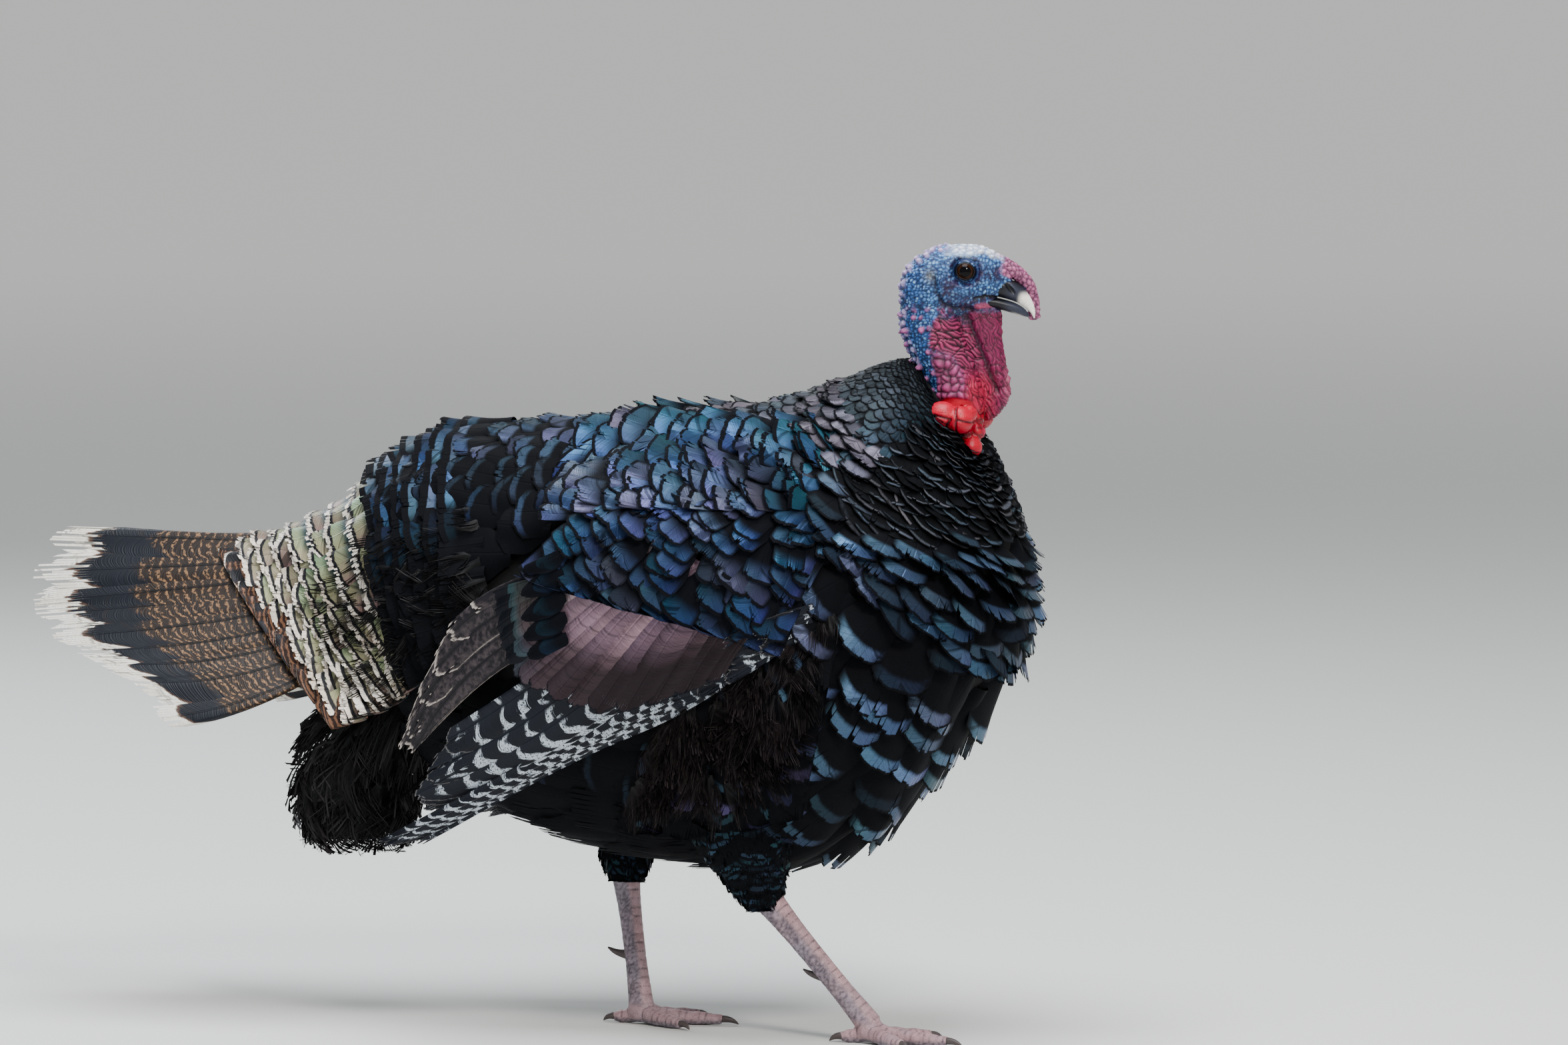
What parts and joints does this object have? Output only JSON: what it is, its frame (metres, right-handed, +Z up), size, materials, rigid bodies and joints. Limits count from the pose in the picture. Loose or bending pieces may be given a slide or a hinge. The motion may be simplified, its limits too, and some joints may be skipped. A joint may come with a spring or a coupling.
{
  "type": "wild turkey model",
  "caption": "Life-size standing male wild turkey, mid-step, with lowered half-spread tail, folded drooping wings, bare coloured head and neck, and long legs.",
  "frame": {"origin": "on the floor under the middle of the bird's overall box", "axes": "+X towards the breast and head, +Y to the bird's left, +Z up"},
  "size_m": [0.937, 0.3802, 0.7089],
  "materials": {
    "skin_blue": "bare granular head and neck skin, sky blue to white, satin",
    "skin_red": "moist wrinkled red caruncle and dewlap skin, glossy folds",
    "skin_pink": "wrinkled pink snood skin, satin",
    "horn_grey": "grey-black horn, polished",
    "horn_ivory": "ivory horn fading from grey, polished",
    "eye": "dark brown wet eye",
    "feather_black": "black contour feathers with steel-blue and purple bands",
    "feather_steel": "scale-like grey-blue iridescent feathers with bronze gloss",
    "feather_copper": "steel-blue coverts and a coppery brown iridescent panel",
    "feather_barred": "black flight feathers barred with white",
    "feather_tail": "dark brown tail feathers, fine buff bars, black band, white tips",
    "feather_coverts": "bronze tail coverts barred black with white tips",
    "leg_scale": "grey-pink scaly shank and toe skin"
  },
  "bodies": {
    "root": {"head": "skin_blue", "eye_right": "eye", "eye_left": "eye", "bill_upper": "horn_grey", "bill_lower": "horn_ivory", "snood": "skin_pink", "neck_upper": "skin_blue", "neck_lower": "feather_steel", "dewlap": "skin_red", "caruncle_front": "skin_red", "caruncle_side_right": "skin_red", "caruncle_side_left": "skin_red", "trunk": "feather_black", "wing_right": "feather_copper", "flight_right": "feather_barred", "tail_right": "feather_tail", "thigh_right": "feather_black", "tarsus_right": "leg_scale", "foot_right": "leg_scale", "spur_right": "horn_grey", "claw_right_middle": "horn_grey", "claw_right_outer": "horn_grey", "claw_right_inner": "horn_grey", "claw_right_hind": "horn_grey", "wing_left": "feather_copper", "flight_left": "feather_barred", "tail_left": "feather_tail", "thigh_left": "feather_black", "tarsus_left": "leg_scale", "foot_left": "leg_scale", "spur_left": "horn_grey", "claw_left_middle": "horn_grey", "claw_left_outer": "horn_grey", "claw_left_inner": "horn_grey", "claw_left_hind": "horn_grey", "tail_coverts": "feather_coverts", "undertail_coverts": "feather_black"}
  },
  "joints": []
}
